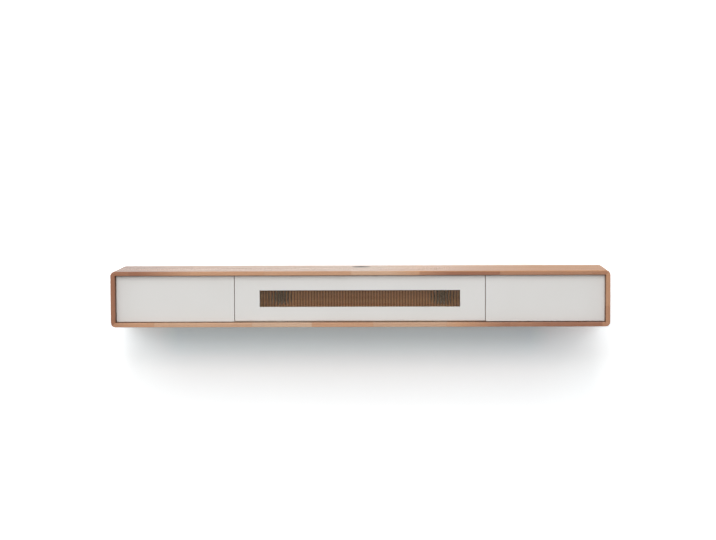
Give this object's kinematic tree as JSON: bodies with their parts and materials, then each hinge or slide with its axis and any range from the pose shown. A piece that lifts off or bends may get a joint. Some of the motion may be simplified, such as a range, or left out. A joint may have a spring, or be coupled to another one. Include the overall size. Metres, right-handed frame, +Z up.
{
  "type": "floating media console",
  "caption": "Wall-hung wooden media console with a push-to-open drawer at each end, a drop-down flap with a reeded glass window between them, and a hooked wall rail.",
  "frame": {"origin": "middle of the wall bolt line, on the wall plane", "axes": "+X to the viewer's right along the console, -Y out from the wall to the front, +Z up"},
  "size_m": [1.8, 0.3, 0.202],
  "materials": {
    "solid_wood": "oiled jointed staves",
    "lacquered_board": "matt warm grey-white lacquer",
    "back_board": "oiled veneer",
    "drawer_wood": "clear lacquered ply",
    "joinery_wood": "raw beech",
    "reeded_glass": "clear vertical reeds",
    "rail_aluminium": "mill finish",
    "zinc_steel": "bright zinc plate",
    "bearing_steel": "polished",
    "dark_plastic": "fine texture",
    "grey_plastic": "satin"
  },
  "bodies": {
    "console": {"back_cable_liners": "dark_plastic", "back_panel": "back_board", "back_screws": "zinc_steel", "bottom_panel": "solid_wood", "cabinet_cleat": "rail_aluminium", "fitting_screws": "zinc_steel", "flap_pivot_plates": "zinc_steel", "left_divider": "back_board", "left_runner_outer_members": "zinc_steel", "left_side_panel": "solid_wood", "mitre_splines": "joinery_wood", "panel_dowels": "joinery_wood", "push_latch_bodies": "grey_plastic", "right_divider": "back_board", "right_runner_outer_members": "zinc_steel", "right_side_panel": "solid_wood", "stay_bodies": "grey_plastic", "stay_body_pins": "zinc_steel", "top_grommet_liner": "dark_plastic", "top_panel": "solid_wood", "wall_cleat": "rail_aluminium", "wall_spacer_batten": "joinery_wood"},
    "left_drawer": {"left_drawer_front": "lacquered_board", "left_drawer_left_side": "drawer_wood", "left_drawer_right_side": "drawer_wood", "left_drawer_inner_front": "drawer_wood", "left_drawer_back": "drawer_wood", "left_drawer_bottom": "drawer_wood", "left_drawer_dowels": "joinery_wood", "left_drawer_screws": "zinc_steel", "left_runner_inner_members": "zinc_steel"},
    "left_runner_middle": {"left_runner_middle_members": "zinc_steel"},
    "left_outer_cage": {"left_outer_ball_cages": "bearing_steel"},
    "left_inner_cage": {"left_inner_ball_cages": "bearing_steel"},
    "left_plunger": {"left_drawer_latch_plunger": "dark_plastic"},
    "right_drawer": {"right_drawer_front": "lacquered_board", "right_drawer_left_side": "drawer_wood", "right_drawer_right_side": "drawer_wood", "right_drawer_inner_front": "drawer_wood", "right_drawer_back": "drawer_wood", "right_drawer_bottom": "drawer_wood", "right_drawer_dowels": "joinery_wood", "right_drawer_screws": "zinc_steel", "right_runner_inner_members": "zinc_steel"},
    "right_runner_middle": {"right_runner_middle_members": "zinc_steel"},
    "right_outer_cage": {"right_outer_ball_cages": "bearing_steel"},
    "right_inner_cage": {"right_inner_ball_cages": "bearing_steel"},
    "right_plunger": {"right_drawer_latch_plunger": "dark_plastic"},
    "flap": {"flap_frame": "lacquered_board", "flap_glass": "reeded_glass", "flap_glass_beads": "lacquered_board", "flap_pivot_pins": "zinc_steel", "flap_stay_brackets": "zinc_steel", "flap_bracket_screws": "zinc_steel"},
    "stay_arms": {"stay_arms": "zinc_steel", "stay_arm_pins": "zinc_steel"},
    "stay_links": {"stay_links": "zinc_steel"},
    "flap_plungers": {"flap_latch_plunger": "dark_plastic"},
    "grommet_cap": {"top_grommet_cap": "dark_plastic"}
  },
  "joints": [
    {"name": "left_drawer_slide", "type": "slide", "parent": "console", "child": "left_drawer", "axis": [0, -1, 0], "range_m": [0, 0.215]},
    {"name": "left_runner_middle_slide", "type": "slide", "parent": "console", "child": "left_runner_middle", "axis": [0, -1, 0], "range_m": [0, 0.1075]},
    {"name": "left_outer_cage_slide", "type": "slide", "parent": "console", "child": "left_outer_cage", "axis": [0, -1, 0], "range_m": [0, 0.05375]},
    {"name": "left_inner_cage_slide", "type": "slide", "parent": "console", "child": "left_inner_cage", "axis": [0, -1, 0], "range_m": [0, 0.16125]},
    {"name": "left_plunger_slide", "type": "slide", "parent": "console", "child": "left_plunger", "axis": [0, -1, 0], "range_m": [0, 0.02]},
    {"name": "right_drawer_slide", "type": "slide", "parent": "console", "child": "right_drawer", "axis": [0, -1, 0], "range_m": [0, 0.215]},
    {"name": "right_runner_middle_slide", "type": "slide", "parent": "console", "child": "right_runner_middle", "axis": [0, -1, 0], "range_m": [0, 0.1075]},
    {"name": "right_outer_cage_slide", "type": "slide", "parent": "console", "child": "right_outer_cage", "axis": [0, -1, 0], "range_m": [0, 0.05375]},
    {"name": "right_inner_cage_slide", "type": "slide", "parent": "console", "child": "right_inner_cage", "axis": [0, -1, 0], "range_m": [0, 0.16125]},
    {"name": "right_plunger_slide", "type": "slide", "parent": "console", "child": "right_plunger", "axis": [0, -1, 0], "range_m": [0, 0.02]},
    {"name": "flap_hinge", "type": "hinge", "parent": "console", "child": "flap", "pos_m": [0, -0.269, -0.12], "axis": [1, 0, 0], "range_deg": [0, 90]},
    {"name": "stay_arm_hinge", "type": "hinge", "parent": "console", "child": "stay_arms", "pos_m": [0, -0.159, -0.108], "axis": [1, 0, 0], "range_deg": [0, 90]},
    {"name": "stay_link_hinge", "type": "hinge", "parent": "stay_arms", "child": "stay_links", "pos_m": [0, -0.142, -0.013], "axis": [1, 0, 0], "range_deg": [-90, 0]},
    {"name": "flap_plungers_slide", "type": "slide", "parent": "console", "child": "flap_plungers", "axis": [0, -1, 0], "range_m": [0, 0.02]},
    {"name": "grommet_cap_turn", "type": "hinge", "parent": "console", "child": "grommet_cap", "pos_m": [0, -0.07, 0.055], "axis": [0, 0, 1], "continuous": true}
  ],
  "couplings": [
    {"joint": "left_runner_middle_slide", "follows": "left_drawer_slide", "ratio": 0.5},
    {"joint": "left_outer_cage_slide", "follows": "left_drawer_slide", "ratio": 0.25},
    {"joint": "left_inner_cage_slide", "follows": "left_drawer_slide", "ratio": 0.75},
    {"joint": "left_plunger_slide", "follows": "left_drawer_slide", "ratio": 0.093023},
    {"joint": "right_runner_middle_slide", "follows": "right_drawer_slide", "ratio": 0.5},
    {"joint": "right_outer_cage_slide", "follows": "right_drawer_slide", "ratio": 0.25},
    {"joint": "right_inner_cage_slide", "follows": "right_drawer_slide", "ratio": 0.75},
    {"joint": "right_plunger_slide", "follows": "right_drawer_slide", "ratio": 0.093023},
    {"joint": "stay_arm_hinge", "follows": "flap_hinge", "ratio": 1},
    {"joint": "stay_link_hinge", "follows": "flap_hinge", "ratio": -1},
    {"joint": "flap_plungers_slide", "follows": "flap_hinge", "m_per_rad": 0.012732}
  ]
}
